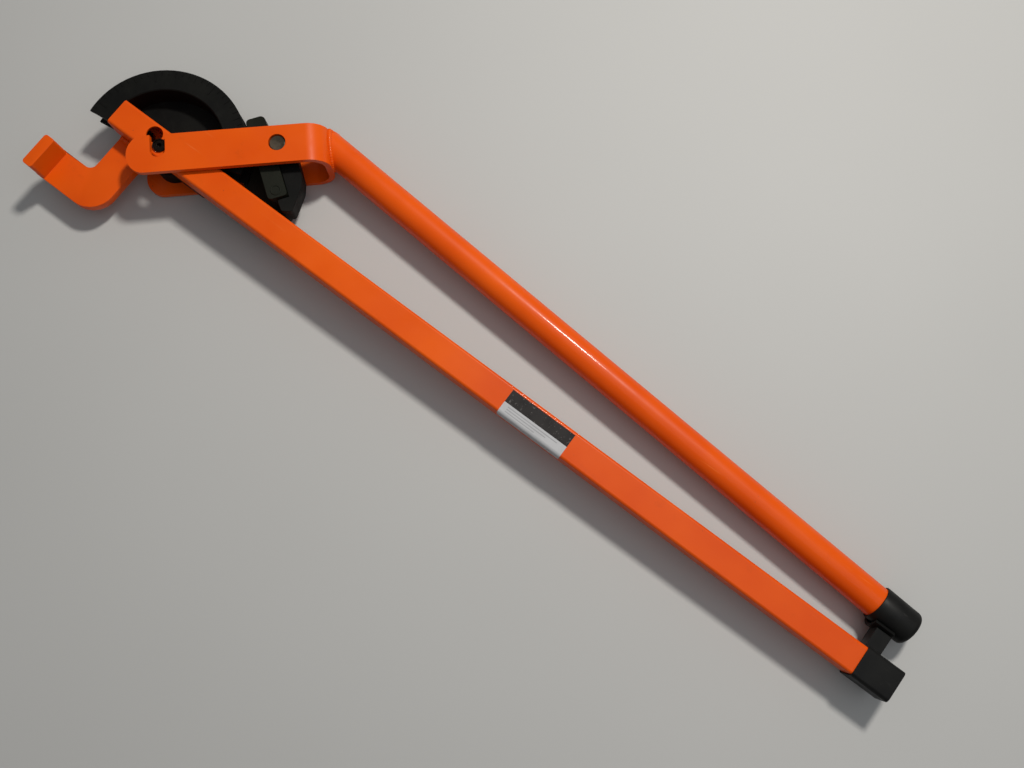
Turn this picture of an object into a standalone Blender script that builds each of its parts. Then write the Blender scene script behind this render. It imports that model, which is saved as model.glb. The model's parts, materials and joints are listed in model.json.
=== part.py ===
"""Lever pipe bender for two tube sizes, lying flat with its two handles folded together.

X runs along the fixed square handle from the head to the grip, Y points to the moving round
handle, and Z is up. The bending lever turns about a vertical axis at the centre of the former.
Sizes below are in millimetres; MM turns them into Blender's metres.
"""

import math

import bmesh
import bpy
from mathutils import Matrix, Vector

MM = 0.001
GAP = 0.3

# The axis that the lever turns about, which is also the centre of the former's grooves.
PIVOT = (-4.0, -3.0)
PIVOT_BOLT_R = 4.5
BUSH_R = 7.1

# Lever yoke: two flat bars, one above and one below the former.
YOKE_ANGLE = math.radians(42.0)
YOKE_WIDTH = 40.0
YOKE_OFFSET = -11.1
YOKE_BACK = 32.0
YOKE_FLAT = 149.0
YOKE_CORNER = 22.0
YOKE_PLATE = 6.0
YOKE_HEIGHT = 66.0
SLOT_R = 7.7
SLOT_DEPTH = 7.5

# Fixed handle: a square tube.
TUBE_SIDE = 30.0
TUBE_WALL = 2.0
TUBE_BOTTOM = 28.5
TUBE_HEAD = -65.0
TUBE_END = 876.0
TUBE_CORNER = 3.0
ACCESS_HOLE = (-16.5, 3.5)
ACCESS_HOLE_R = 8.8
CAP_START = 849.5
CAP_END = 890.0
CAP_WALL = 1.6

# Former: one casting with a small groove below and a large groove above.
FORMER_START = 18.0
FORMER_STOP = 188.5
FORMER_BOTTOM = 6.5
FORMER_TOP = 54.0
FLANGE_R = 87.0
RECESS_R = 64.5
WEB_TOP = 28.2
WEB_BOTTOM = 20.0
LARGE_PIPE_R = 11.2
LARGE_GROOVE_R = 68.0
LARGE_GROOVE_Z = 39.2
SMALL_PIPE_R = 7.75
SMALL_GROOVE_R = 50.0
SMALL_GROOVE_Z = 17.25
SMALL_FLANGE_R = 64.0
FORMER_BOLTS = [(-34.0, 0.0), (30.0, 0.0)]
BOLT_R = 4.0

# Hook that holds the end of the pipe against the former.
HOOK_BOTTOM = 22.0
HOOK_TOP = 32.0
HOOK_LEG = (-58.0, -22.0)
HOOK_ARM = (-100.0, -63.0)
HOOK_TIP = -103.0
LUG_THICKNESS = 12.0
LUG_TOP = 62.0

# Moving handle: a round tube, a little out of line with the square one.
LEVER_TUBE_R = 16.1
LEVER_TUBE_WALL = 2.3
LEVER_TUBE_Z = 33.0
LEVER_START = (131.0, 107.0)
LEVER_END = (868.0, 57.6)
LEVER_CAP_R = 18.0
LEVER_CAP_START = 841.0
LEVER_CAP_END = 882.5

# Guide that presses the pipe against the former, and the pin that it swings on.
GUIDE_PIN = (92.0, 70.7)
GUIDE_PIN_R = 7.8
GUIDE_HOLE_R = 8.8
GUIDE_ANGLE = math.radians(-35.4)
LARGE_SHOE_Z = (26.0, 54.0)
SMALL_SHOE_Z = (8.5, 24.4)
CARRIER_Z = (27.0, 50.0)
SCREW_R = 2.5

LEVER_NODES = (
    "yoke",
    "lever_tube",
    "lever_end_cap",
    "lever_weld",
    "guide_pin",
    "pin_ring_upper",
    "pin_ring_lower",
    "pin_washer",
    "pin_spacer",
)

ORANGE = ("orange_paint", (0.80, 0.13, 0.015), 0.38, 0.0)
BLACK_CAST = ("black_cast", (0.018, 0.018, 0.020), 0.52, 0.2)
GREY_CAST = ("dark_grey_cast", (0.055, 0.056, 0.058), 0.5, 0.3)
BLACK_PLASTIC = ("black_plastic", (0.012, 0.012, 0.013), 0.45, 0.0)
STEEL = ("zinc_steel", (0.36, 0.35, 0.33), 0.35, 1.0)
DARK_STEEL = ("blackened_steel", (0.05, 0.046, 0.042), 0.42, 1.0)
LABEL = ("label_film", (0.70, 0.70, 0.72), 0.4, 0.0)

ROUND_STEPS = 40
GROOVE_STEPS = 8
ARC_STEPS = 36


def clear_scene():
    for obj in list(bpy.data.objects):
        bpy.data.objects.remove(obj, do_unlink=True)


def material(finish):
    """The Principled material of a finish, made once."""
    name, colour, roughness, metallic = finish
    found = bpy.data.materials.get(name)
    if found:
        return found
    made = bpy.data.materials.new(name)
    made.use_nodes = True
    shader = made.node_tree.nodes["Principled BSDF"]
    shader.inputs["Base Color"].default_value = (*colour, 1.0)
    shader.inputs["Roughness"].default_value = roughness
    shader.inputs["Metallic"].default_value = metallic
    return made


def add_mesh(name, mesh_edit, finish):
    """A new object from a bmesh in millimetres, with normals facing out."""
    bmesh.ops.scale(mesh_edit, vec=(MM, MM, MM), verts=mesh_edit.verts)
    bmesh.ops.recalc_face_normals(mesh_edit, faces=mesh_edit.faces)
    mesh = bpy.data.meshes.new(name)
    mesh_edit.to_mesh(mesh)
    mesh_edit.free()
    mesh.materials.append(material(finish))
    mesh.shade_smooth()
    mesh.set_sharp_from_angle(angle=math.radians(35))
    obj = bpy.data.objects.new(name, mesh)
    bpy.context.scene.collection.objects.link(obj)
    return obj


def prism(name, outline, low, high, finish, place=None):
    """A straight extrusion of an outline in XY between two heights."""
    edit = bmesh.new()
    bottom = [edit.verts.new((x, y, low)) for x, y in outline]
    face = edit.faces.new(bottom)
    grown = bmesh.ops.extrude_face_region(edit, geom=[face])
    tops = [item for item in grown["geom"] if isinstance(item, bmesh.types.BMVert)]
    bmesh.ops.translate(edit, vec=(0, 0, high - low), verts=tops)
    if place:
        bmesh.ops.transform(edit, matrix=place, verts=edit.verts)
    return add_mesh(name, edit, finish)


def revolved(name, profile, centre, finish, start=0.0, stop=360.0, steps=ROUND_STEPS):
    """A profile of (radius, height) points turned about a vertical axis."""
    edit = bmesh.new()
    full = stop - start >= 360.0
    rings = []
    for index in range(steps if full else steps + 1):
        angle = math.radians(start + (stop - start) * index / steps)
        ring = []
        for radius, height in profile:
            x = centre[0] + radius * math.cos(angle)
            y = centre[1] + radius * math.sin(angle)
            ring.append(edit.verts.new((x, y, height)))
        rings.append(ring)
    count = len(profile)
    for index in range(steps):
        here = rings[index]
        there = rings[(index + 1) % len(rings)]
        for corner in range(count):
            after = (corner + 1) % count
            edit.faces.new((here[corner], here[after], there[after], there[corner]))
    if not full:
        edit.faces.new(rings[0])
        edit.faces.new(rings[-1])
    bmesh.ops.remove_doubles(edit, verts=edit.verts, dist=0.001)
    return add_mesh(name, edit, finish)


def circle(centre, radius, steps=ROUND_STEPS):
    turns = [2 * math.pi * index / steps for index in range(steps)]
    return [(centre[0] + radius * math.cos(a), centre[1] + radius * math.sin(a)) for a in turns]


def cylinder(name, centre, radius, low, high, finish, steps=ROUND_STEPS):
    return prism(name, circle(centre, radius, steps), low, high, finish)


def ring(name, centre, inner, outer, low, high, finish, steps=ROUND_STEPS):
    profile = [(inner, low), (outer, low), (outer, high), (inner, high)]
    return revolved(name, profile, centre, finish, steps=steps)


def rounded(corners, steps=5):
    """An outline whose corners, given as (x, y, radius), are replaced by arcs."""
    outline = []
    count = len(corners)
    for index, (x, y, radius) in enumerate(corners):
        point = Vector((x, y))
        if radius <= 0:
            outline.append((x, y))
            continue
        before = Vector(corners[index - 1][:2]) - point
        after = Vector(corners[(index + 1) % count][:2]) - point
        before.normalize()
        after.normalize()
        half = before.angle(after) / 2
        reach = radius / math.tan(half)
        centre = point + (before + after).normalized() * radius / math.sin(half)
        first = point + before * reach - centre
        last = point + after * reach - centre
        for step in range(steps + 1):
            spoke = first.lerp(last, step / steps).normalized() * radius
            outline.append(tuple(centre + spoke))
    return outline


def rectangle(x0, x1, y0, y1, radius=0.0, steps=4):
    corners = [(x0, y0, radius), (x1, y0, radius), (x1, y1, radius), (x0, y1, radius)]
    return rounded(corners, steps)


def combine(obj, other, operation):
    """Applies a Boolean with another object, which is then removed."""
    change = obj.modifiers.new(operation.lower(), "BOOLEAN")
    change.operation = operation
    change.solver = "EXACT"
    change.object = other
    graph = bpy.context.evaluated_depsgraph_get()
    result = bpy.data.meshes.new_from_object(obj.evaluated_get(graph))
    obj.modifiers.clear()
    old = obj.data
    obj.data = result
    result.name = obj.name
    bpy.data.meshes.remove(old)
    bpy.data.objects.remove(other, do_unlink=True)
    tidy = bmesh.new()
    tidy.from_mesh(result)
    bmesh.ops.remove_doubles(tidy, verts=tidy.verts, dist=0.00001)
    bmesh.ops.dissolve_degenerate(tidy, edges=tidy.edges, dist=0.000005)
    tidy.to_mesh(result)
    tidy.free()
    result.shade_smooth()
    result.set_sharp_from_angle(angle=math.radians(35))


def cut(obj, other):
    combine(obj, other, "DIFFERENCE")


def join(obj, other):
    combine(obj, other, "UNION")


def turned_about(point, angle):
    """The matrix that places a local outline at a point, turned about Z."""
    return Matrix.Translation((point[0], point[1], 0.0)) @ Matrix.Rotation(angle, 4, "Z")


def section_prism(name, outline, start, end, finish):
    """An extrusion between two points, with the outline given as (across, up) pairs."""
    along = Vector(end) - Vector(start)
    edit = bmesh.new()
    bottom = [edit.verts.new((0.0, across, up)) for across, up in outline]
    face = edit.faces.new(bottom)
    grown = bmesh.ops.extrude_face_region(edit, geom=[face])
    tops = [item for item in grown["geom"] if isinstance(item, bmesh.types.BMVert)]
    bmesh.ops.translate(edit, vec=(along.length, 0, 0), verts=tops)
    turn = Matrix.Rotation(math.atan2(along.y, along.x), 4, "Z")
    bmesh.ops.transform(edit, matrix=Matrix.Translation(start) @ turn, verts=edit.verts)
    return add_mesh(name, edit, finish)


def hexagon(name, centre, across_flats, low, high, finish, bore=0.0):
    radius = across_flats / math.sqrt(3)
    nut = prism(name, circle(centre, radius, 6), low, high, finish)
    if bore:
        cut(nut, cylinder("nut_bore", centre, bore, low - 1, high + 1, finish, 24))
    return nut


# --- fixed handle ---


def static_tube():
    half = TUBE_SIDE / 2
    middle = TUBE_BOTTOM + half
    outer = rectangle(-half, half, middle - half, middle + half, TUBE_CORNER, 4)
    start = (TUBE_HEAD, 0.0, 0.0)
    end = (TUBE_END, 0.0, 0.0)
    tube = section_prism("static_tube", outer, start, end, ORANGE)
    inside = half - TUBE_WALL
    inner = rectangle(-inside, inside, middle - inside, middle + inside, 1.2, 3)
    bore = section_prism("tube_bore", inner, (TUBE_HEAD - 5, 0, 0), (TUBE_END + 5, 0, 0), ORANGE)
    cut(tube, bore)
    top = TUBE_BOTTOM + TUBE_SIDE
    cut(tube, cylinder("hole", ACCESS_HOLE, ACCESS_HOLE_R, top - 8, top + 5, ORANGE, 32))
    cut(tube, cylinder("hole", PIVOT, PIVOT_BOLT_R + GAP, top - 8, top + 5, ORANGE, 28))
    bolt_places = [PIVOT] + FORMER_BOLTS
    for place, radius in zip(bolt_places, (PIVOT_BOLT_R, BOLT_R, BOLT_R)):
        low = TUBE_BOTTOM - 5
        cut(tube, cylinder("hole", place, radius + GAP, low, low + 10, ORANGE, 24))


def static_end_cap():
    half = TUBE_SIDE / 2
    middle = TUBE_BOTTOM + half
    out = half + CAP_WALL
    outer = rectangle(-out, out, middle - out, middle + out, TUBE_CORNER + 1, 4)
    cap = section_prism("static_end_cap", outer, (CAP_START, 0, 0), (CAP_END, 0, 0), BLACK_PLASTIC)
    room = half + GAP
    inner = rectangle(-room, room, middle - room, middle + room, TUBE_CORNER, 4)
    ends = ((CAP_START - 5, 0, 0), (TUBE_END + GAP, 0, 0))
    cut(cap, section_prism("hollow", inner, *ends, BLACK_PLASTIC))
    core = rectangle(-12.0, 12.0, middle - 12.0, middle + 12.0)
    ends = ((CAP_START - 5, 0, 0), (CAP_END - 5, 0, 0))
    cut(cap, section_prism("core", core, *ends, BLACK_PLASTIC))
    soften(cap, 0.9, 2)


def label():
    """A thin printed film over the tube's top and down its near side."""
    half = TUBE_SIDE / 2
    top = TUBE_BOTTOM + TUBE_SIDE
    skin = 0.35
    near = 0.12
    outer = half + near + skin
    inner = half + near
    bend = TUBE_CORNER + near
    drop = top - 16.0
    outline = [(half - 3.5, top + near), (half - 3.5, top + near + skin)]
    for step in range(5):
        angle = math.radians(90 + 90 * step / 4)
        across = -half + TUBE_CORNER + (bend + skin) * math.cos(angle)
        outline.append((across, top - TUBE_CORNER + (bend + skin) * math.sin(angle)))
    outline.append((-outer, drop))
    outline.append((-inner, drop))
    for step in range(5):
        angle = math.radians(180 - 90 * step / 4)
        across = -half + TUBE_CORNER + bend * math.cos(angle)
        outline.append((across, top - TUBE_CORNER + bend * math.sin(angle)))
    section_prism("label", outline, (437.0, 0, 0), (512.0, 0, 0), LABEL)


def handle_clip():
    """Plastic clip on the square handle, with a half ring that the round handle snaps into."""
    middle = lever_axis_y(863.0)
    inner = LEVER_CAP_R + 1.2
    outer = inner + 3.2
    steps = 12
    arc = []
    for step in range(steps + 1):
        angle = math.radians(140 + 118 * step / steps)
        arc.append((middle + inner * math.cos(angle), LEVER_TUBE_Z + inner * math.sin(angle)))
    for step in range(steps + 1):
        angle = math.radians(258 - 118 * step / steps)
        arc.append((middle + outer * math.cos(angle), LEVER_TUBE_Z + outer * math.sin(angle)))
    clip = section_prism("handle_clip", arc, (846.0, 0, 0), (867.5, 0, 0), BLACK_PLASTIC)
    foot = TUBE_SIDE / 2 + CAP_WALL + GAP
    stem = rectangle(foot, middle - inner - 1.0, 29.0, 46.0, 1.0, 3)
    join(clip, section_prism("stem", stem, (850.5, 0, 0), (867.0, 0, 0), BLACK_PLASTIC))
    soften(clip, 0.8, 2)


# --- former and pivot ---


def groove(radius, centre_z, bottom_r):
    """The points of a round-bottomed groove from its lower lip to its upper lip."""
    points = []
    for step in range(GROOVE_STEPS + 1):
        angle = math.radians(270 - 180 * step / GROOVE_STEPS)
        across = bottom_r + radius + radius * math.cos(angle)
        points.append((across, centre_z + radius * math.sin(angle)))
    return points


def former():
    small_low = SMALL_GROOVE_Z - SMALL_PIPE_R
    small_high = SMALL_GROOVE_Z + SMALL_PIPE_R
    large_low = LARGE_GROOVE_Z - LARGE_PIPE_R
    large_high = LARGE_GROOVE_Z + LARGE_PIPE_R
    profile = [(44.0, FORMER_BOTTOM), (SMALL_FLANGE_R, FORMER_BOTTOM), (SMALL_FLANGE_R, small_low)]
    profile += groove(SMALL_PIPE_R, SMALL_GROOVE_Z, SMALL_GROOVE_R)
    profile += [(FLANGE_R, small_high), (FLANGE_R, large_low)]
    profile += groove(LARGE_PIPE_R, LARGE_GROOVE_Z, LARGE_GROOVE_R)
    profile += [(FLANGE_R, large_high), (FLANGE_R, FORMER_TOP - 1), (FLANGE_R - 1, FORMER_TOP)]
    profile += [(RECESS_R + 1, FORMER_TOP), (RECESS_R, FORMER_TOP - 1), (RECESS_R, WEB_TOP)]
    profile += [(18.0, WEB_TOP), (18.0, WEB_BOTTOM), (44.0, WEB_BOTTOM)]
    body = revolved("former", profile, PIVOT, BLACK_CAST, FORMER_START, FORMER_STOP, ARC_STEPS)
    join(body, cylinder("boss", PIVOT, 19.0, FORMER_BOTTOM + 0.1, WEB_TOP - 0.1, BLACK_CAST, 32))
    seat = rectangle(-50.0, 50.0, -14.7, 8.0, 2.0, 2)
    join(body, prism("seat", seat, WEB_BOTTOM + 0.2, WEB_TOP - 0.2, BLACK_CAST))
    for angle in (60.0, 104.5, 149.0):
        rib = rectangle(12.0, 50.0, -2.5, 2.5)
        place = turned_about(PIVOT, math.radians(angle))
        join(body, prism("rib", rib, 8.0, 24.0, BLACK_CAST, place))
    cut(body, cylinder("bore", PIVOT, PIVOT_BOLT_R + GAP, -5, 40, BLACK_CAST, 28))
    for place in FORMER_BOLTS:
        cut(body, cylinder("bore", place, BOLT_R + GAP, 10, 40, BLACK_CAST, 24))


def former_bolts():
    for index, place in enumerate(FORMER_BOLTS):
        number = index + 1
        head = hexagon("former_bolt_%d" % number, place, 13.0, 12.4, 18.0, STEEL)
        join(head, cylinder("shank", place, BOLT_R, 17.0, 39.5, STEEL, 24))
        low = WEB_BOTTOM - 1.7
        ring("former_washer_%d" % number, place, BOLT_R + GAP, 8.0, low, low + 1.4, STEEL, 24)
        bottom = TUBE_BOTTOM + TUBE_WALL + GAP
        hexagon("former_nut_%d" % number, place, 13.0, bottom, bottom + 6.5, STEEL, BOLT_R + GAP)


def pivot_pin():
    """Bolt through the head, with one bush for each slot of the yoke."""
    top = TUBE_BOTTOM + TUBE_SIDE
    high = YOKE_HEIGHT - 5.2
    upper = ring("pivot_bush_upper", PIVOT, PIVOT_BOLT_R + GAP, BUSH_R, top + GAP, high, DARK_STEEL)
    cut(upper, cylinder("seat", PIVOT, 5.9, high - 2.6, high + 2, DARK_STEEL, 32))
    low = 0.0
    lower = ring("pivot_bush_lower", PIVOT, PIVOT_BOLT_R + GAP, BUSH_R, low, FORMER_BOTTOM - GAP, DARK_STEEL)
    cut(lower, cylinder("seat", PIVOT, 5.9, low - 2, low + 2.6, DARK_STEEL, 32))
    bolt = cylinder("pivot_bolt", PIVOT, PIVOT_BOLT_R, 1.6, high - 1.0, DARK_STEEL, 28)
    join(bolt, cylinder("head", PIVOT, 5.6, high - 2.3, high - 0.6, DARK_STEEL, 28))
    join(bolt, cylinder("foot", PIVOT, 5.6, 0.0, low + 2.3, DARK_STEEL, 28))
    cut(bolt, prism("socket", circle(PIVOT, 2.6, 6), high - 4.0, high + 2.0, DARK_STEEL))


# --- hook ---


def pipe_hook():
    wall = -TUBE_SIDE / 2 - GAP
    corners = [
        (HOOK_LEG[0], wall, 1.5),
        (HOOK_LEG[0], HOOK_ARM[1], 8.0),
        (HOOK_TIP, HOOK_ARM[1], 1.5),
        (HOOK_TIP, HOOK_ARM[0], 1.5),
        (HOOK_LEG[1], HOOK_ARM[0], 27.0),
        (HOOK_LEG[1], wall, 1.5),
    ]
    hook = prism("pipe_hook", rounded(corners, 7), HOOK_BOTTOM, HOOK_TOP, ORANGE)
    inner = HOOK_TIP + LUG_THICKNESS
    lug = rounded(
        [
            (HOOK_TIP + 0.1, HOOK_ARM[0] + 0.1, 3.0),
            (inner, HOOK_ARM[0] + 0.1, 3.0),
            (inner, HOOK_ARM[1] - 0.1, 3.0),
            (HOOK_TIP + 0.1, HOOK_ARM[1] - 0.1, 3.0),
        ],
        4,
    )
    join(hook, prism("lug", lug, HOOK_BOTTOM + 3, LUG_TOP, ORANGE))
    soften(hook, 1.6, 3)


def soften(obj, width, segments=2):
    bevel = obj.modifiers.new("bevel", "BEVEL")
    bevel.width = width * MM
    bevel.segments = segments
    bevel.limit_method = "ANGLE"
    bevel.angle_limit = math.radians(50)


def hook_weld():
    """The fillet bead where the hook meets the square tube."""
    side = -TUBE_SIDE / 2 - GAP
    top = HOOK_TOP + GAP
    bead = [(side, top), (side, top + 5), (side - 2.6, top + 3.2), (side - 5, top)]
    start = (HOOK_LEG[0] + 1.0, 0, 0)
    end = (HOOK_LEG[1] - 1.0, 0, 0)
    section_prism("hook_weld", bead, start, end, ORANGE)


# --- lever ---


def lever_axis_y(x):
    share = (x - LEVER_START[0]) / (LEVER_END[0] - LEVER_START[0])
    return LEVER_START[1] + (LEVER_END[1] - LEVER_START[1]) * share


def yoke_profile():
    """The strap's bent shape from the side, as (along, height): out along the top, back below."""
    back = YOKE_FLAT + YOKE_CORNER
    slim = YOKE_PLATE
    start = -YOKE_BACK - 20.0
    outside = [(start, 0, 0), (back, 0, YOKE_CORNER)]
    outside += [(back, YOKE_HEIGHT, YOKE_CORNER), (start, YOKE_HEIGHT, 0)]
    inner = YOKE_CORNER - slim
    high = YOKE_HEIGHT - slim
    inside = [(start, high, 0), (back - slim, high, inner), (back - slim, slim, inner), (start, slim, 0)]
    return rounded(outside + inside, 6)


def yoke():
    """One flat strap bent into a fork, with round ends and open slots that hook on the pivot."""
    half = YOKE_WIDTH / 2
    low_edge = YOKE_OFFSET - half
    high_edge = YOKE_OFFSET + half
    place = turned_about(PIVOT, YOKE_ANGLE)
    edit = bmesh.new()
    face = edit.faces.new([edit.verts.new((x, low_edge, z)) for x, z in yoke_profile()])
    grown = bmesh.ops.extrude_face_region(edit, geom=[face])
    far = [item for item in grown["geom"] if isinstance(item, bmesh.types.BMVert)]
    bmesh.ops.translate(edit, vec=(0, YOKE_WIDTH, 0), verts=far)
    bmesh.ops.transform(edit, matrix=place, verts=edit.verts)
    strap = add_mesh("yoke", edit, ORANGE)
    back = YOKE_FLAT + YOKE_CORNER + 5.0
    outline = []
    for step in range(17):
        angle = math.radians(90 + 180 * step / 16)
        outline.append((-YOKE_BACK + 17.0 + 17.0 * math.cos(angle), YOKE_OFFSET + half * math.sin(angle)))
    outline += [(back, low_edge), (back, high_edge)]
    trim = prism("trim", outline, -5.0, YOKE_HEIGHT + 5.0, ORANGE, place)
    combine(strap, trim, "INTERSECT")
    slot = [(SLOT_R * math.cos(a), -SLOT_DEPTH + SLOT_R * math.sin(a)) for a in half_turn(16)]
    slot += [(SLOT_R, high_edge + 20), (-SLOT_R, high_edge + 20)]
    cut(strap, prism("slot", slot, -5.0, YOKE_HEIGHT + 5.0, ORANGE, place))
    cut(strap, cylinder("hole", GUIDE_PIN, GUIDE_HOLE_R, -5.0, YOKE_HEIGHT + 5.0, ORANGE))
    soften(strap, 0.8, 1)


def half_turn(steps):
    """The angles of the lower half of a circle, from left to right."""
    return [math.pi + math.pi * step / steps for step in range(steps + 1)]


def behind_yoke(gap):
    """A large block whose front face lies a gap behind the yoke's back."""
    front = YOKE_FLAT + YOKE_CORNER + gap
    outline = [(front - 200.0, -90.0), (front, -90.0), (front, 90.0), (front - 200.0, 90.0)]
    return prism("front", outline, -40.0, 110.0, ORANGE, turned_about(PIVOT, YOKE_ANGLE))


def lever_stretch(name, radius, first_x, last_x, finish, steps=ROUND_STEPS):
    """A cylinder along the round handle's axis between two places along X."""
    start = (first_x, lever_axis_y(first_x), 0.0)
    end = (last_x, lever_axis_y(last_x), 0.0)
    return section_prism(name, circle((0.0, LEVER_TUBE_Z), radius, steps), start, end, finish)


def lever_tube():
    tube = lever_stretch("lever_tube", LEVER_TUBE_R, LEVER_START[0] - 60, LEVER_END[0], ORANGE)
    inner = LEVER_TUBE_R - LEVER_TUBE_WALL
    cut(tube, lever_stretch("bore", inner, LEVER_START[0] + 16, LEVER_END[0] + 5, ORANGE))
    cut(tube, behind_yoke(GAP))
    cut(tube, wide_of_strap(YOKE_OFFSET + YOKE_WIDTH / 2 - 0.5, 90.0))


def lever_end_cap():
    cap = lever_stretch("lever_end_cap", LEVER_CAP_R, LEVER_CAP_START, LEVER_CAP_END - 2, BLACK_PLASTIC, 36)
    join(cap, lever_stretch("crown", LEVER_CAP_R - 2.2, LEVER_CAP_END - 6, LEVER_CAP_END, BLACK_PLASTIC, 36))
    room = LEVER_TUBE_R + GAP
    cut(cap, lever_stretch("room", room, LEVER_CAP_START - 5, LEVER_END[0] + GAP, BLACK_PLASTIC, 36))
    cut(cap, lever_stretch("core", 13.0, LEVER_CAP_START - 5, LEVER_CAP_END - 5, BLACK_PLASTIC, 24))


def lever_weld():
    """The bead round the mitred joint between the round tube and the yoke's back."""
    inner = LEVER_TUBE_R + GAP
    bead = lever_stretch("lever_weld", inner + 1.7, LEVER_START[0] - 60, LEVER_START[0] + 60, ORANGE)
    cut(bead, lever_stretch("tube", inner, LEVER_START[0] - 70, LEVER_START[0] + 70, ORANGE))
    cut(bead, behind_yoke(GAP))
    front = YOKE_FLAT + YOKE_CORNER + GAP + 2.4
    outline = [(front, -90.0), (front + 200.0, -90.0), (front + 200.0, 90.0), (front, 90.0)]
    cut(bead, prism("rest", outline, -40.0, 110.0, ORANGE, turned_about(PIVOT, YOKE_ANGLE)))
    cut(bead, wide_of_strap(YOKE_OFFSET + YOKE_WIDTH / 2, 90.0))
    cut(bead, wide_of_strap(-90.0, YOKE_OFFSET - YOKE_WIDTH / 2))


def wide_of_strap(low, high):
    """A block beside the strap, between two places across it."""
    outline = [(100.0, low), (250.0, low), (250.0, high), (100.0, high)]
    return prism("side", outline, -40.0, 110.0, ORANGE, turned_about(PIVOT, YOKE_ANGLE))


def guide_pin():
    """Headless pin held by a spring ring under each yoke plate, with a roller between."""
    pin = cylinder("guide_pin", GUIDE_PIN, GUIDE_PIN_R, 0.8, YOKE_HEIGHT - 2.0, STEEL)
    for low in (YOKE_PLATE + 0.6, YOKE_HEIGHT - YOKE_PLATE - 2.0):
        grooved = ring("groove", GUIDE_PIN, GUIDE_PIN_R - 0.8, GUIDE_PIN_R + 3, low, low + 1.4, STEEL)
        cut(pin, grooved)
    for name, low in (("pin_ring_lower", YOKE_PLATE + 0.8), ("pin_ring_upper", 58.2)):
        inside = GUIDE_PIN_R - 0.5
        outside = GUIDE_PIN_R + 2.5
        profile = [(inside, low), (outside, low), (outside, low + 1), (inside, low + 1)]
        revolved(name, profile, GUIDE_PIN, STEEL, 20.0, 340.0, 28)
    ring("pin_washer", GUIDE_PIN, GUIDE_PIN_R + GAP, 13.0, 54.6, 56.2, STEEL)
    ring("pin_spacer", GUIDE_PIN, GUIDE_PIN_R + GAP, 10.8, 8.6, 25.6, STEEL)


# --- guide ---


def shoe(name, low, high, inner, back, span, pipe_r, pipe_z, finish):
    """A straight bar with a round channel along its inner face."""
    place = turned_about(GUIDE_PIN, GUIDE_ANGLE)
    corners = [(span[0], inner, 4.0), (span[1], inner, 4.0), (span[1], back, 3.0), (span[0], back, 5.0)]
    bar = prism(name, rounded(corners, 5), low, high, finish, place)
    axis = Vector((math.cos(GUIDE_ANGLE), math.sin(GUIDE_ANGLE), 0))
    inward = Vector((math.sin(GUIDE_ANGLE), -math.cos(GUIDE_ANGLE), 0))
    middle = Vector((GUIDE_PIN[0], GUIDE_PIN[1], 0)) + inward * (-inner + pipe_r * 0.45)
    channel = circle((0.0, pipe_z), pipe_r, 32)
    first = tuple(middle + axis * (span[0] - 10))
    last = tuple(middle + axis * (span[1] + 10))
    cut(bar, section_prism("channel", channel, first, last, finish))
    soften(bar, 0.6, 1)
    return bar


def guide():
    """The two shoes that press on the pipe, and the block that carries them on the pin."""
    span = (-39.0, 52.0)
    large = shoe("guide_shoe_large", *LARGE_SHOE_Z, -26.0, -6.0, span, 11.3, LARGE_GROOVE_Z, GREY_CAST)
    cut(large, cylinder("relief", GUIDE_PIN, GUIDE_PIN_R + GAP, 20, 60, GREY_CAST))
    span = (-26.0, 62.0)
    shoe("guide_shoe_small", *SMALL_SHOE_Z, -49.5, -12.2, span, 7.8, SMALL_GROOVE_Z, BLACK_CAST)
    place = turned_about(GUIDE_PIN, GUIDE_ANGLE)
    corners = [
        (-20.0, -5.6, 2.0),
        (53.0, -5.6, 0.0),
        (53.0, -18.0, 2.0),
        (66.0, -17.0, 3.0),
        (69.5, -6.5, 3.0),
        (47.5, 9.5, 8.0),
        (36.0, 13.3, 8.0),
        (-12.0, 14.5, 10.0),
        (-20.0, 8.0, 6.0),
    ]
    carrier = prism("guide_carrier", rounded(corners, 4), *CARRIER_Z, BLACK_CAST, place)
    cut(carrier, cylinder("bore", GUIDE_PIN, GUIDE_PIN_R + GAP, 20, 60, BLACK_CAST))
    soften(carrier, 0.8, 1)


def guide_tie():
    """The plate between the shoes, and the screws from below that hold the guide together."""
    place = turned_about(GUIDE_PIN, GUIDE_ANGLE)
    low = SMALL_SHOE_Z[1] + GAP
    high = LARGE_SHOE_Z[0] - GAP
    outline = rounded([(14, -26, 3), (44, -26, 3), (44, 8, 3), (14, 8, 3)], 4)
    tie = prism("guide_tie_plate", outline, low, high, STEEL, place)
    small_shoe = bpy.data.objects["guide_shoe_small"]
    large_shoe = bpy.data.objects["guide_shoe_large"]
    carrier = bpy.data.objects["guide_carrier"]
    holes = (
        ("guide_screw_large", (34.0, -16.0), SMALL_SHOE_Z[0] + 5.0, 40.0, (tie, large_shoe, small_shoe)),
        ("guide_screw_small", (24.0, -20.0), 12.0, 25.4, (tie, small_shoe)),
        ("guide_screw_carrier", (32.0, 2.5), 18.5, 36.0, (tie, carrier)),
    )
    for name, spot, bottom, top, targets in holes:
        centre = tuple(place @ Vector((spot[0], spot[1], 0.0)))[:2]
        cylinder(name, centre, SCREW_R, bottom, top, STEEL, 20)
        for target in targets:
            cut(target, cylinder("hole", centre, SCREW_R + GAP, bottom - GAP, top + GAP, STEEL, 20))


def axis_empty(name, place, parent):
    """An empty on a joint's axis, placed in the drawing's own coordinates."""
    empty = bpy.data.objects.new(name, None)
    bpy.context.scene.collection.objects.link(empty)
    empty.location = (place[0] * MM, place[1] * MM, 0.0)
    if parent:
        empty.parent = parent
        empty.matrix_parent_inverse = Matrix.Translation(-parent.location)
    return empty


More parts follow.
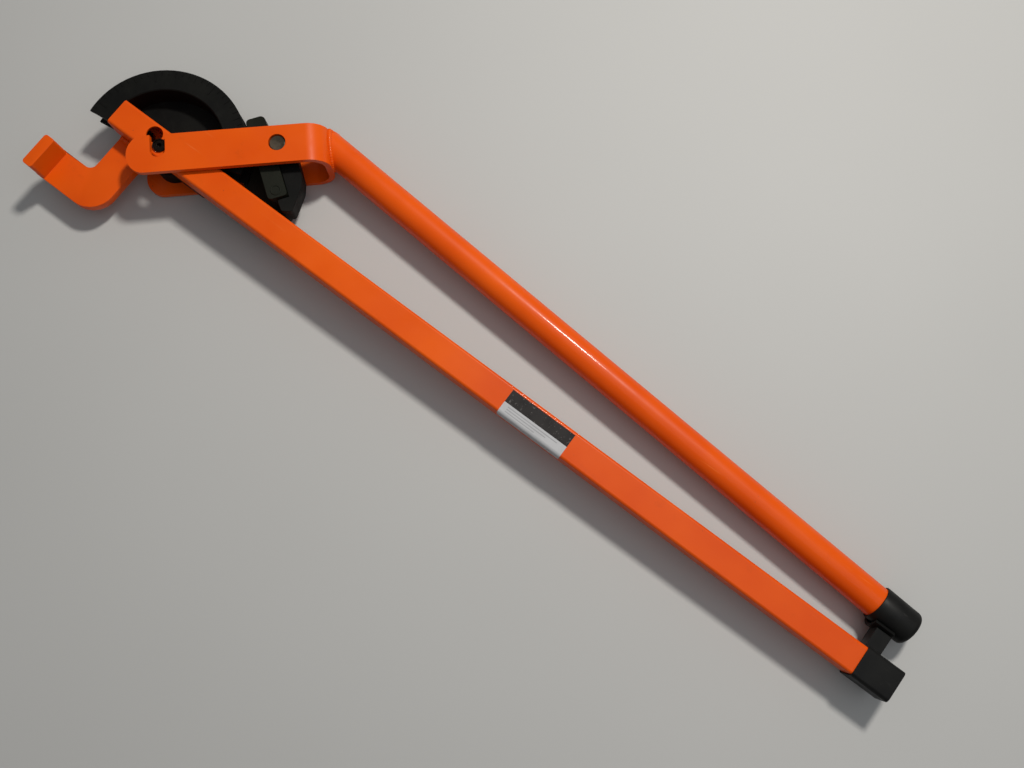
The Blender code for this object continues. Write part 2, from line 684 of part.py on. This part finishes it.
def hang(obj, parent, place):
    """Hangs a piece on an axis without moving it."""
    obj.parent = parent
    obj.matrix_parent_inverse = Matrix.Translation((-place[0] * MM, -place[1] * MM, 0.0))


def assemble():
    """Groups the pieces by what they move with, and puts the lever's axis at the origin."""
    pieces = [obj for obj in bpy.data.objects if obj.type == "MESH"]
    lever = axis_empty("lever_axis", PIVOT, None)
    guide_swing = axis_empty("guide_axis", GUIDE_PIN, lever)
    fixed = axis_empty("fixed_handle", PIVOT, None)
    for obj in pieces:
        if obj.name.startswith("guide_") and obj.name != "guide_pin":
            hang(obj, guide_swing, GUIDE_PIN)
        elif obj.name in LEVER_NODES:
            hang(obj, lever, PIVOT)
        else:
            hang(obj, fixed, PIVOT)
    lever.location = (0.0, 0.0, 0.0)
    fixed.location = (0.0, 0.0, 0.0)


def build():
    clear_scene()
    static_tube()
    static_end_cap()
    label()
    handle_clip()
    former()
    former_bolts()
    pivot_pin()
    pipe_hook()
    hook_weld()
    yoke()
    lever_tube()
    lever_end_cap()
    lever_weld()
    guide_pin()
    guide()
    guide_tie()
    assemble()


build()
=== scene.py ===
"""Looks of the folded lever pipe bender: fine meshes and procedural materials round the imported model."""

import json
import math

import bmesh
import bpy
from mathutils import Euler, Matrix, Vector


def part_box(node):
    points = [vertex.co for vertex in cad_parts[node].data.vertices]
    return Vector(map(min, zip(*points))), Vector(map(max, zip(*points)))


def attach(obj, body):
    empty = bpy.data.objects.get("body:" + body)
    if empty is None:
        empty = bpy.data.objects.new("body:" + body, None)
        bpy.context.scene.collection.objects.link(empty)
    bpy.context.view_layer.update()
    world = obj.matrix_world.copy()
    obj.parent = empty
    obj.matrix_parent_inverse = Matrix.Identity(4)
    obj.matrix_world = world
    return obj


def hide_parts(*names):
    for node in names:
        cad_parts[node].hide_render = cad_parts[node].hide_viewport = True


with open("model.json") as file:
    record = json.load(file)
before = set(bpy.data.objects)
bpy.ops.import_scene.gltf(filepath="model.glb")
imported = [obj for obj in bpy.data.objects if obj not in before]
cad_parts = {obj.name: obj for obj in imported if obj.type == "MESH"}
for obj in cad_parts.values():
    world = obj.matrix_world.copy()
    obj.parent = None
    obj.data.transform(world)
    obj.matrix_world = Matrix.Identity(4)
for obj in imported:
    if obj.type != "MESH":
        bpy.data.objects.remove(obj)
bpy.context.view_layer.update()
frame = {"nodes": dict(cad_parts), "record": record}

MM = 0.001
NODES = frame["nodes"]
BODY_OF = {node: body for body, nodes in frame["record"]["behaviour"]["bodies"].items() for node in nodes}
SLOT_OF = {entry["node"]: entry["material_slot"] for entry in frame["record"]["subparts"]}

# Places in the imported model's own frame, in millimetres.
YOKE_ANGLE = math.radians(42.0)
YOKE_BACK = 171.2
YOKE_EDGE = 8.4
TUBE_R = 16.1
TUBE_FROM = Vector((135.0, 110.0, 33.0))
TUBE_TO = Vector((872.0, 60.6, 33.0))
YOKE_OUT = Vector((math.cos(YOKE_ANGLE), math.sin(YOKE_ANGLE), 0))
YOKE_SIDE = Vector((-math.sin(YOKE_ANGLE), math.cos(YOKE_ANGLE), 0))
TUBE_ALONG = (TUBE_TO - TUBE_FROM).normalized()
UP = Vector((0, 0, 1))
GUIDE_PIN = Vector((96.0, 73.7, 0.0))
GUIDE_ANGLE = math.radians(-35.4)
BAR_TOP = 54.0
MARK_AT = Vector((44.0, -16.0, 0.0))

# The hook's bead runs from one x to another at a given y and z; the three beads have these radii.
HOOK_SIDE = (-53.0, -19.0, -13.4, 32.0)
LEVER_BEAD = 2.2
HOOK_BEAD = 2.6
SEAM_BEAD = 1.3

# Lines on the former's rim: the radii where they start and stop, and how far they sink and rise.
FORMER_TOP = 54.0
LINE_STEP = 5
LINE_OUTER = 85.4
LINE_INNER = {"degree": 81.0, "fifteen": 78.5, "forty_five": 74.0}
LINE_DEPTH = 0.2
LINE_HEIGHT = 0.55

# The cap on the round handle, measured from its mouth.
CAP_MOUTH = 845.0
CAP_LENGTH = 42.6
CAP_R = 18.0
CAP_BORE = 16.4
CAP_CORE = 13.0
CAP_DOME = 5.0
CAP_END_WALL = 5.0
CAP_STEP = 27.3



# --- camera, light and floor ---

CAMERA_AT = (0.5295, -0.1251, 0.9735)
CAMERA_TURN = (10.554, -0.711, 36.804)
CAMERA_LENS = 33.4
KEY_AT = (0.34, 1.12, 1.80)
KEY_AIM = (0.45, 0.0, 0.0)
KEY_POWER = 34.0
FILL_AT = (0.9, 0.2, 1.9)
FILL_AIM = (0.5, 0.0, 0.0)
FILL_POWER = 6.0
ROOM_LIGHT = 0.21
FLOOR_HALF = 4.0
FLOOR_GAP = 0.0003


def make_camera():
    data = bpy.data.cameras.new("camera")
    data.lens = CAMERA_LENS
    data.sensor_width = 36.0
    camera = bpy.data.objects.new("camera", data)
    camera.location = CAMERA_AT
    camera.rotation_euler = Euler([math.radians(a) for a in CAMERA_TURN], "XYZ")
    bpy.context.scene.collection.objects.link(camera)
    bpy.context.scene.camera = camera


def area_light(name, at, aim, size, power, colour):
    data = bpy.data.lights.new(name, "AREA")
    data.shape = "DISK"
    data.size = size
    data.energy = power
    data.color = colour
    light = bpy.data.objects.new(name, data)
    light.location = at
    light.rotation_euler = (Vector(aim) - Vector(at)).to_track_quat("-Z", "Y").to_euler()
    bpy.context.scene.collection.objects.link(light)


def make_light():
    area_light("key", KEY_AT, KEY_AIM, 0.24, KEY_POWER, (1.0, 0.96, 0.90))
    area_light("fill", FILL_AT, FILL_AIM, 1.8, FILL_POWER, (0.92, 0.96, 1.0))
    world = bpy.data.worlds.new("room")
    world.use_nodes = True
    background = world.node_tree.nodes["Background"]
    background.inputs["Color"].default_value = (0.88, 0.90, 0.92, 1.0)
    background.inputs["Strength"].default_value = ROOM_LIGHT
    bpy.context.scene.world = world
    bpy.context.scene.view_settings.view_transform = "Standard"


def make_floor():
    """A plain floor that touches the yoke under the head and the handle clip, so it leans a little."""
    yoke_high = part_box("yoke")[1]
    clip_low, clip_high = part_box("handle_clip")
    front = Vector((yoke_high.x - 0.03, 0.0, 0.0))
    back = Vector((clip_high.x, 0.0, clip_low.z))
    lean = math.atan2(back.z - front.z, back.x - front.x)
    mesh = bpy.data.meshes.new("floor")
    edit = bmesh.new()
    bmesh.ops.create_grid(edit, x_segments=2, y_segments=2, size=FLOOR_HALF)
    edit.to_mesh(mesh)
    edit.free()
    floor = bpy.data.objects.new("floor", mesh)
    floor.location = front + Vector((0, 0, -FLOOR_GAP))
    floor.rotation_euler = (0.0, -lean, 0.0)
    bpy.context.scene.collection.objects.link(floor)
    mesh.materials.append(floor_material())


# --- materials ---


class Shader:
    """A material with a Principled shader, and short calls for the nodes that feed it."""

    def __init__(self, name, metallic=0.0, coat=0.0, coat_roughness=0.1, specular=0.5):
        self.material = bpy.data.materials.new(name)
        self.material.use_nodes = True
        self.tree = self.material.node_tree
        self.out = self.tree.nodes["Principled BSDF"]
        self.out.inputs["Metallic"].default_value = metallic
        self.out.inputs["Coat Weight"].default_value = coat
        self.out.inputs["Coat Roughness"].default_value = coat_roughness
        self.out.inputs["Specular IOR Level"].default_value = specular
        self.place = self.tree.nodes.new("ShaderNodeTexCoord").outputs["Object"]

    def node(self, kind, **values):
        made = self.tree.nodes.new(kind)
        for key, value in values.items():
            setattr(made, key, value)
        return made

    def link(self, source, target):
        self.tree.links.new(source, target)

    def noise(self, scale, detail=4.0, roughness=0.55, stretch=None):
        made = self.node("ShaderNodeTexNoise")
        made.inputs["Scale"].default_value = scale
        made.inputs["Detail"].default_value = detail
        made.inputs["Roughness"].default_value = roughness
        if stretch:
            mapping = self.node("ShaderNodeMapping")
            mapping.inputs["Scale"].default_value = stretch
            self.link(self.place, mapping.inputs["Vector"])
            self.link(mapping.outputs["Vector"], made.inputs["Vector"])
        else:
            self.link(self.place, made.inputs["Vector"])
        return made.outputs["Fac"]

    def ramp(self, source, low, high, start=0.0, stop=1.0):
        """Maps a value from low..high to start..stop, and clamps it."""
        made = self.node("ShaderNodeMapRange")
        made.inputs["From Min"].default_value = low
        made.inputs["From Max"].default_value = high
        made.inputs["To Min"].default_value = start
        made.inputs["To Max"].default_value = stop
        self.link(source, made.inputs["Value"])
        return made.outputs["Result"]

    def math(self, operation, first, second):
        made = self.node("ShaderNodeMath", operation=operation)
        for socket, value in zip(made.inputs, (first, second)):
            if isinstance(value, (int, float)):
                socket.default_value = value
            else:
                self.link(value, socket)
        return made.outputs["Value"]

    def mix(self, share, first, second):
        made = self.node("ShaderNodeMix", data_type="RGBA")
        self.link(share, made.inputs["Factor"])
        for index, value in ((6, first), (7, second)):
            if isinstance(value, tuple):
                made.inputs[index].default_value = (*value, 1.0)
            else:
                self.link(value, made.inputs[index])
        return made.outputs[2]

    def colour(self, source):
        self.link(source, self.out.inputs["Base Color"])

    def roughness(self, source):
        self.link(source, self.out.inputs["Roughness"])

    def bump(self, height, distance, strength=1.0):
        made = self.node("ShaderNodeBump")
        made.inputs["Strength"].default_value = strength
        made.inputs["Distance"].default_value = distance
        self.link(height, made.inputs["Height"])
        self.link(made.outputs["Normal"], self.out.inputs["Normal"])


def orange_paint():
    """Powder coat: orange peel, a slow drift of colour, dust, fine scratches and a few dark chips."""
    shader = Shader("orange_paint", coat=0.15, coat_roughness=0.09, specular=0.13)
    drift = shader.ramp(shader.noise(9.0, 3.0), 0.3, 0.7)
    body = shader.mix(drift, (0.67, 0.070, 0.0012), (0.77, 0.102, 0.0030))
    grime = shader.ramp(shader.noise(48.0, 8.0, 0.7), 0.60, 0.78, 0.0, 0.25)
    body = shader.mix(grime, body, (0.36, 0.052, 0.006))
    scratches = shader.ramp(shader.noise(240.0, 3.0, 0.5, stretch=(0.05, 1.0, 1.0)), 0.67, 0.72)
    scuffs = shader.math("MULTIPLY", scratches, shader.ramp(shader.noise(14.0), 0.50, 0.62, 0.0, 0.3))
    body = shader.mix(scuffs, body, (0.84, 0.24, 0.06))
    chips = shader.ramp(shader.noise(260.0, 4.0, 0.6), 0.735, 0.755)
    body = shader.mix(chips, body, (0.10, 0.045, 0.03))
    shader.colour(body)
    shader.roughness(shader.ramp(shader.noise(30.0, 6.0, 0.65), 0.3, 0.75, 0.30, 0.50))
    peel = shader.noise(620.0, 2.0, 0.5)
    shader.bump(shader.math("SUBTRACT", peel, shader.math("MULTIPLY", chips, 1.2)), 0.00003, 0.5)
    return shader.material


def cast_paint(name, dark, light, rough, grain):
    """Satin paint on a sand-cast surface, with dust in the hollows and a few rubbed spots."""
    shader = Shader(name, specular=0.09)
    patch = shader.ramp(shader.noise(22.0, 6.0, 0.6), 0.32, 0.68)
    body = shader.mix(patch, dark, light)
    dust = shader.ramp(shader.noise(85.0, 8.0, 0.7), 0.56, 0.80, 0.0, 0.30)
    body = shader.mix(dust, body, tuple(c * 1.6 + 0.006 for c in light))
    shader.colour(body)
    shader.roughness(shader.ramp(shader.noise(60.0, 6.0, 0.6), 0.3, 0.7, rough - 0.09, rough + 0.12))
    pits = shader.noise(900.0, 4.0, 0.6)
    lumps = shader.noise(160.0, 3.0, 0.5)
    shader.bump(shader.math("ADD", pits, shader.math("MULTIPLY", lumps, 1.5)), grain, 0.6)
    return shader.material


def black_plastic():
    """Moulded vinyl: fine grain, a dull bloom and light scuffs."""
    shader = Shader("black_plastic", specular=0.14)
    bloom = shader.ramp(shader.noise(40.0, 5.0, 0.6), 0.35, 0.75)
    body = shader.mix(bloom, (0.005, 0.005, 0.005), (0.010, 0.010, 0.009))
    scuff = shader.ramp(shader.noise(210.0, 6.0, 0.7, stretch=(0.25, 1.0, 1.0)), 0.62, 0.72, 0.0, 0.4)
    body = shader.mix(scuff, body, (0.035, 0.034, 0.032))
    shader.colour(body)
    shader.roughness(shader.ramp(shader.noise(75.0, 5.0), 0.3, 0.7, 0.36, 0.56))
    shader.bump(shader.noise(1400.0, 2.0), 0.00008, 0.5)
    return shader.material


def brushed_steel(name, bright, tinted):
    """Steel brushed along one way, with dull spots and a brown tint in places."""
    shader = Shader(name, metallic=1.0)
    tint = shader.ramp(shader.noise(120.0, 6.0, 0.65), 0.42, 0.72)
    body = shader.mix(tint, bright, tinted)
    shader.colour(body)
    shader.roughness(shader.ramp(shader.noise(90.0, 5.0), 0.3, 0.7, 0.28, 0.55))
    shader.bump(shader.noise(700.0, 3.0, 0.6, stretch=(0.15, 1.0, 1.0)), 0.00008, 0.5)
    return shader.material


def label_film():
    """Blank film: a plain dark band above, and silver with three empty fields below."""
    shader = Shader("label_film", coat=0.10, coat_roughness=0.15, specular=0.16)
    low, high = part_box("label")
    split = shader.node("ShaderNodeSeparateXYZ")
    shader.link(shader.place, split.inputs["Vector"])
    x, y = split.outputs["X"], split.outputs["Y"]

    def within(value, start, stop):
        above = shader.math("GREATER_THAN", value, start)
        below = shader.math("LESS_THAN", value, stop)
        return shader.math("MULTIPLY", above, below)

    def patch(x0, x1, y0, y1):
        return shader.math("MULTIPLY", within(x, x0, x1), within(y, y0, y1))

    middle = high.y - 0.0142
    silver = shader.mix(shader.noise(60.0), (0.40, 0.40, 0.41), (0.52, 0.52, 0.53))
    upper = shader.math("GREATER_THAN", y, middle)
    body = shader.mix(upper, silver, (0.016, 0.013, 0.012))
    for row in range(3):
        top = middle - 0.0022 - 0.0026 * row
        field = patch(low.x + 0.006, high.x - 0.010 - 0.012 * row, top - 0.0010, top)
        body = shader.mix(shader.math("MULTIPLY", field, 0.55), body, (0.20, 0.20, 0.21))
    scuff = shader.ramp(shader.noise(300.0, 6.0, 0.7), 0.60, 0.70, 0.0, 0.5)
    body = shader.mix(scuff, body, (0.42, 0.40, 0.38))
    shader.colour(body)
    shader.roughness(shader.ramp(shader.noise(80.0, 5.0), 0.3, 0.7, 0.22, 0.42))
    shader.bump(shader.noise(90.0, 3.0), 0.0001, 0.4)
    return shader.material


def floor_material():
    shader = Shader("floor", specular=0.3)
    shader.colour(shader.mix(shader.noise(2.0, 2.0), (0.44, 0.44, 0.43), (0.48, 0.48, 0.47)))
    shader.out.inputs["Roughness"].default_value = 0.6
    return shader.material


MATERIALS = {
    "orange_paint": orange_paint(),
    "black_cast": cast_paint("black_cast", (0.003, 0.003, 0.003), (0.007, 0.007, 0.006), 0.58, 0.00020),
    "grey_cast": cast_paint("grey_cast", (0.008, 0.009, 0.006), (0.015, 0.016, 0.011), 0.55, 0.00020),
    "black_plastic": black_plastic(),
    "steel": brushed_steel("steel", (0.115, 0.094, 0.070), (0.060, 0.044, 0.030)),
    "dark_steel": brushed_steel("dark_steel", (0.022, 0.018, 0.015), (0.010, 0.007, 0.005)),
    "label_film": label_film(),
}


# --- pieces ---


def stand_for(piece, node):
    """The piece takes the place and motion of a CAD node."""
    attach(piece, BODY_OF[node])
    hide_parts(node)


def add_to(piece, body):
    """The piece is an addition that stands for no CAD node."""
    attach(piece, body)


def shade(mesh, angle=32.0):
    mesh.shade_smooth()
    mesh.set_sharp_from_angle(angle=math.radians(angle))


def refine(node, width, segments=3, angle=32.0):
    """A copy of a CAD node with its flat faces merged and its edges rounded."""
    edit = bmesh.new()
    edit.from_mesh(NODES[node].data)
    bmesh.ops.remove_doubles(edit, verts=edit.verts, dist=0.00001)
    flat = math.radians(0.5)
    bmesh.ops.dissolve_limit(edit, angle_limit=flat, verts=edit.verts, edges=edit.edges)
    mesh = bpy.data.meshes.new(node + "_fine")
    edit.to_mesh(mesh)
    edit.free()
    mesh.materials.clear()
    mesh.materials.append(MATERIALS[SLOT_OF[node]])
    piece = bpy.data.objects.new(node + "_fine", mesh)
    bpy.context.scene.collection.objects.link(piece)
    if width > 0:
        bevel = piece.modifiers.new("bevel", "BEVEL")
        bevel.width = width * MM
        bevel.segments = segments
        bevel.limit_method = "ANGLE"
        bevel.angle_limit = math.radians(angle)
        bevel.harden_normals = False
    shade(mesh, 180.0 if width > 0 else angle)
    if width > 0:
        weighted = piece.modifiers.new("normals", "WEIGHTED_NORMAL")
        weighted.keep_sharp = True
    stand_for(piece, node)
    return piece


def new_piece(name, edit, material, node=None):
    """A smooth piece from a bmesh in millimetres, which may stand for a CAD node."""
    bmesh.ops.scale(edit, vec=(MM, MM, MM), verts=edit.verts)
    bmesh.ops.recalc_face_normals(edit, faces=edit.faces)
    mesh = bpy.data.meshes.new(name)
    edit.to_mesh(mesh)
    edit.free()
    mesh.materials.append(MATERIALS[material])
    shade(mesh, 50.0)
    piece = bpy.data.objects.new(name, mesh)
    bpy.context.scene.collection.objects.link(piece)
    if node:
        stand_for(piece, node)
    return piece


def weld_bead(name, path, radius, node, closed, steady):
    """A weld bead along a path, with the overlapping ripples that each drop of metal leaves.

    The bead's rings keep their turn by the steady direction, which the path never follows.
    """
    edit = bmesh.new()
    sides = 10
    count = len(path)
    rings = []
    for index, point in enumerate(path):
        before = path[index - 1] if index or closed else point
        after = path[(index + 1) % count] if index + 1 < count or closed else point
        along = (after - before).normalized()
        across = along.cross(steady).normalized()
        up = across.cross(along)
        ripple = 1.0 + 0.16 * abs(math.sin(math.pi * index / 5.0)) + 0.05 * math.sin(index * 0.37)
        ring = []
        for side in range(sides):
            angle = 2 * math.pi * side / sides
            spoke = across * math.cos(angle) + up * math.sin(angle)
            ring.append(edit.verts.new(point + spoke * radius * ripple))
        rings.append(ring)
    for index in range(count if closed else count - 1):
        here, there = rings[index], rings[(index + 1) % count]
        for side in range(sides):
            turn = (side + 1) % sides
            edit.faces.new((here[side], here[turn], there[turn], there[side]))
    if not closed:
        edit.faces.new(rings[0])
        edit.faces.new(rings[-1])
    return new_piece(name, edit, "orange_paint", node)


def lever_joint_path(steps=260):
    """Where the round tube's surface meets the back and the edge of the yoke."""
    across = UP.cross(TUBE_ALONG)
    path = []
    for step in range(steps):
        angle = 2 * math.pi * step / steps
        spoke = across * math.cos(angle) + Vector((0, 0, math.sin(angle)))
        start = TUBE_FROM + spoke * TUBE_R
        to_back = (YOKE_BACK - YOKE_OUT.dot(start)) / YOKE_OUT.dot(TUBE_ALONG)
        to_edge = (YOKE_EDGE - YOKE_SIDE.dot(start)) / YOKE_SIDE.dot(TUBE_ALONG)
        sunk = min(LEVER_BEAD, max(0.0, to_edge - to_back) * 0.3)
        path.append(start + TUBE_ALONG * (max(to_back, to_edge) + 0.6) - spoke * sunk)
    return path


def seam_path(steps=40):
    """The upright corner between the round tube's trimmed end and the edge of the yoke."""
    corner = YOKE_OUT * YOKE_BACK + YOKE_SIDE * YOKE_EDGE
    aside = UP.cross(TUBE_ALONG).dot(corner - TUBE_FROM)
    half = math.sqrt(TUBE_R ** 2 - aside ** 2)
    middle = Vector((corner.x, corner.y, TUBE_FROM.z))
    return [middle + Vector((0, 0, half * (2 * step / (steps - 1) - 1))) for step in range(steps)]


def grip_cap():
    """The soft cap on the round handle, turned round the handle's axis: a rolled mouth and a domed end."""
    mouth = TUBE_FROM + TUBE_ALONG * ((CAP_MOUTH - TUBE_FROM.x) / TUBE_ALONG.x)
    floor_at = CAP_LENGTH - CAP_END_WALL
    profile = [(floor_at, 0.0), (floor_at, CAP_CORE), (CAP_STEP, CAP_CORE), (CAP_STEP, CAP_BORE)]
    profile += [(0.4, CAP_BORE), (0.0, CAP_BORE + 0.4)]
    profile += [(0.0, CAP_R - 0.5), (0.2, CAP_R - 0.2), (0.6, CAP_R)]
    for step in range(10):
        turn = math.pi / 2 * step / 9
        at = CAP_LENGTH - 0.8 - CAP_DOME * (1 - math.sin(turn))
        profile.append((at, CAP_R - CAP_DOME * (1 - math.cos(turn))))
    profile += [(CAP_LENGTH - 0.3, (CAP_R - CAP_DOME) * 0.6), (CAP_LENGTH, 0.0)]
    edit = bmesh.new()
    spoke = UP.cross(TUBE_ALONG)
    line = [edit.verts.new(mouth + TUBE_ALONG * at + spoke * radius) for at, radius in profile]
    edges = [edit.edges.new(pair) for pair in zip(line, line[1:])]
    bmesh.ops.spin(edit, geom=line + edges, cent=mouth, axis=TUBE_ALONG, angle=2 * math.pi, steps=96)
    bmesh.ops.remove_doubles(edit, verts=edit.verts, dist=0.001)
    piece = new_piece("lever_end_cap_fine", edit, "black_plastic", "lever_end_cap")
    shade(piece.data, 40.0)


def hook_joint_path(steps=90):
    x0, x1, y, z = HOOK_SIDE
    return [Vector((x0 + (x1 - x0) * step / (steps - 1), y, z)) for step in range(steps)]


def degree_scale():
    """Raised lines round the former's rim, every five degrees, longer at each 15 and longest at 45."""
    edit = bmesh.new()
    for degrees in range(30, 186, LINE_STEP):
        kind = "forty_five" if degrees % 45 == 0 else "degree" if degrees % 15 else "fifteen"
        inner = LINE_INNER[kind]
        wide = 0.55 if kind == "forty_five" else 0.4
        angle = math.radians(degrees)
        turn = Vector((math.cos(angle), math.sin(angle), 0))
        side = Vector((-turn.y, turn.x, 0))
        bottom = []
        top = []
        for radius, offset in ((inner, -wide), (LINE_OUTER, -wide), (LINE_OUTER, wide), (inner, wide)):
            point = turn * radius + side * offset + Vector((0, 0, FORMER_TOP - LINE_DEPTH))
            bottom.append(edit.verts.new(point))
            top.append(edit.verts.new(point + Vector((0, 0, LINE_DEPTH + LINE_HEIGHT))))
        edit.faces.new(bottom)
        edit.faces.new(top)
        for corner in range(4):
            after = (corner + 1) % 4
            edit.faces.new((bottom[corner], bottom[after], top[after], top[corner]))
    piece = new_piece("degree_scale", edit, "black_cast")
    shade(piece.data, 30.0)
    add_to(piece, "frame")


def bar_mark():
    """A raised ring cast on the end of the guide's bar."""
    edit = bmesh.new()
    place = GUIDE_PIN + Matrix.Rotation(GUIDE_ANGLE, 3, "Z") @ MARK_AT
    rings = []
    for step in range(48):
        angle = 2 * math.pi * step / 48
        turn = Vector((math.cos(angle), math.sin(angle), 0))
        ring = []
        for radius, height in ((4.0, -0.2), (5.8, -0.2), (5.5, 0.5), (4.9, 0.7), (4.3, 0.5)):
            ring.append(edit.verts.new(place + turn * radius + Vector((0, 0, BAR_TOP + height))))
        rings.append(ring)
    for step in range(48):
        here, there = rings[step], rings[(step + 1) % 48]
        for corner in range(5):
            after = (corner + 1) % 5
            edit.faces.new((here[corner], here[after], there[after], there[corner]))
    piece = new_piece("bar_mark", edit, "grey_cast")
    add_to(piece, "guide")


EDGE_WIDTHS = {
    "former": 0.8,
    "pipe_hook": 0.0,
    "yoke": 0.5,
    "guide_carrier": 0.6,
    "guide_shoe_large": 0.5,
    "guide_shoe_small": 0.0,
    "static_tube": 0.25,
    "lever_tube": 0.3,
    "static_end_cap": 0.5,
    "handle_clip": 0.3,
    "label": 0.0,
}
SMALL_EDGE = 0.25
REDRAWN = ("lever_weld", "hook_weld", "lever_end_cap")


def make_pieces():
    for node in sorted(NODES):
        if node not in REDRAWN:
            refine(node, EDGE_WIDTHS.get(node, SMALL_EDGE))
    weld_bead("lever_weld_fine", lever_joint_path(), LEVER_BEAD, "lever_weld", True, TUBE_ALONG)
    weld_bead("hook_weld_fine", hook_joint_path(), HOOK_BEAD, "hook_weld", False, UP)
    seam = weld_bead("seam_weld", seam_path(), SEAM_BEAD, None, False, YOKE_OUT)
    add_to(seam, "lever")
    grip_cap()
    degree_scale()
    bar_mark()


make_camera()
make_light()
make_floor()
make_pieces()
